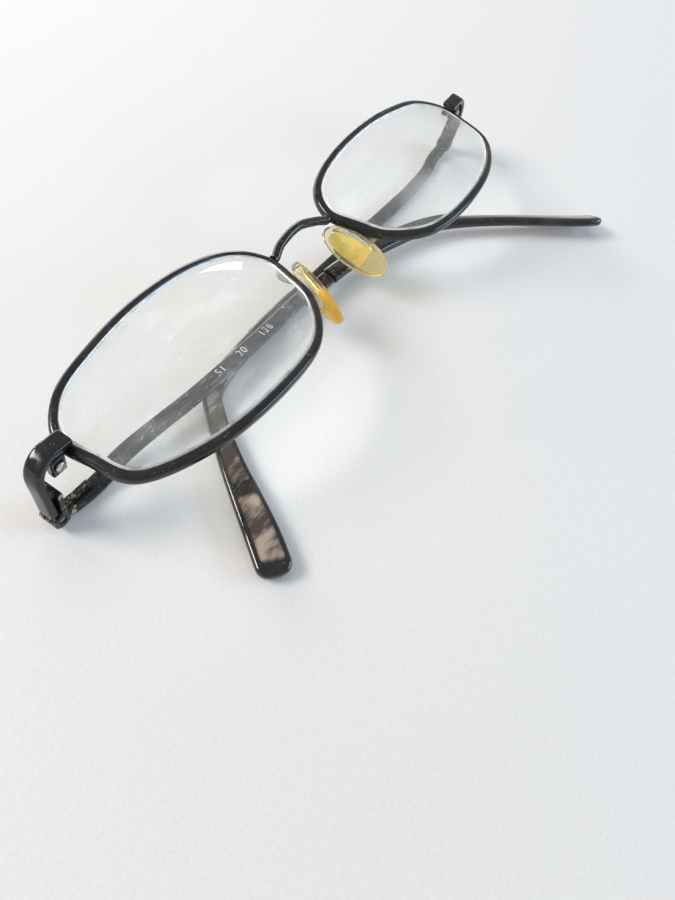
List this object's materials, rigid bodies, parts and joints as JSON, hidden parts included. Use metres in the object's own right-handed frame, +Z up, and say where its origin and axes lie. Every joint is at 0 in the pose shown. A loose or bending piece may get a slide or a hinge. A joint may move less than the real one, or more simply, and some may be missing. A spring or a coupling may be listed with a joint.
{
  "type": "broken_eyeglasses",
  "caption": "Bent, worn black wire-rim eyeglasses with clear lenses, yellowed nose pads and folded temples, lying on the temples with the front up",
  "frame": {"origin": "bottom centre of the bounding box of the folded glasses, on the surface they lie on", "axes": "+X towards the wearer's left, +Y towards the upper edge of the lenses, +Z up, out of the front of the lenses"},
  "size_m": [0.1368, 0.0538, 0.0168],
  "materials": {
    "enamel": "Thin glossy black enamel on drawn metal wire and strip, with fine scratches and rubbed edges.",
    "lens": "Clear plastic lens with dust specks, smears, hair scratches and a pale cut edge.",
    "steel": "Dull plated steel of the screws, pad wires and pad boxes.",
    "worn": "Hinge metal with the plating worn through to a pale brassy base, dark in the corners.",
    "pad": "Soft translucent silicone, yellowed to amber, with grime along its edges.",
    "pad_core": "Pale stiff plastic core plate inside the soft pad.",
    "sleeve": "Glossy black plastic sleeve with soft scuffs and skin-oil smears."
  },
  "bodies": {
    "front": {"bridge": "enamel", "right_rim": "enamel", "right_lens": "lens", "right_end_piece": "enamel", "right_closing_block": "enamel", "right_closing_screw": "steel", "right_front_hinge_leaf": "worn", "right_hinge_screw": "steel", "right_pad_arm": "steel", "right_pad_box": "steel", "right_pad_screw": "steel", "left_rim": "enamel", "left_lens": "lens", "left_end_piece": "enamel", "left_closing_block": "enamel", "left_closing_screw": "steel", "left_front_hinge_leaf": "worn", "left_hinge_screw": "steel", "left_pad_arm": "steel", "left_pad_box": "steel", "left_pad_screw": "steel"},
    "right_temple_body": {"right_temple": "enamel", "right_temple_tip": "sleeve", "right_temple_hinge_leaf": "worn"},
    "right_pad_body": {"right_nose_pad": "pad", "right_pad_plate": "pad_core"},
    "left_temple_body": {"left_temple": "enamel", "left_temple_tip": "sleeve", "left_temple_hinge_leaf": "worn"},
    "left_pad_body": {"left_nose_pad": "pad", "left_pad_plate": "pad_core"}
  },
  "joints": [
    {"name": "right_temple_hinge", "type": "hinge", "parent": "front", "child": "right_temple_body", "pos_m": [-0.06679, 0.01478, 0.0019], "axis": [-0.0001, 0.9999, -0.012], "range_deg": [0, 95]},
    {"name": "left_temple_hinge", "type": "hinge", "parent": "front", "child": "left_temple_body", "pos_m": [0.06532, 0.01674, 0.00206], "axis": [0.02, -0.9958, -0.0892], "range_deg": [0, 95]},
    {"name": "right_pad_rock", "type": "hinge", "parent": "front", "child": "right_pad_body", "pos_m": [-0.01014, 0.00871, 0.00903], "axis": [-0.3608, -0.0009, 0.9326], "range_deg": [-5, 5]},
    {"name": "left_pad_rock", "type": "hinge", "parent": "front", "child": "left_pad_body", "pos_m": [0.00935, 0.00997, 0.0081], "axis": [0.1687, -0.1668, 0.9714], "range_deg": [-5, 5]}
  ]
}
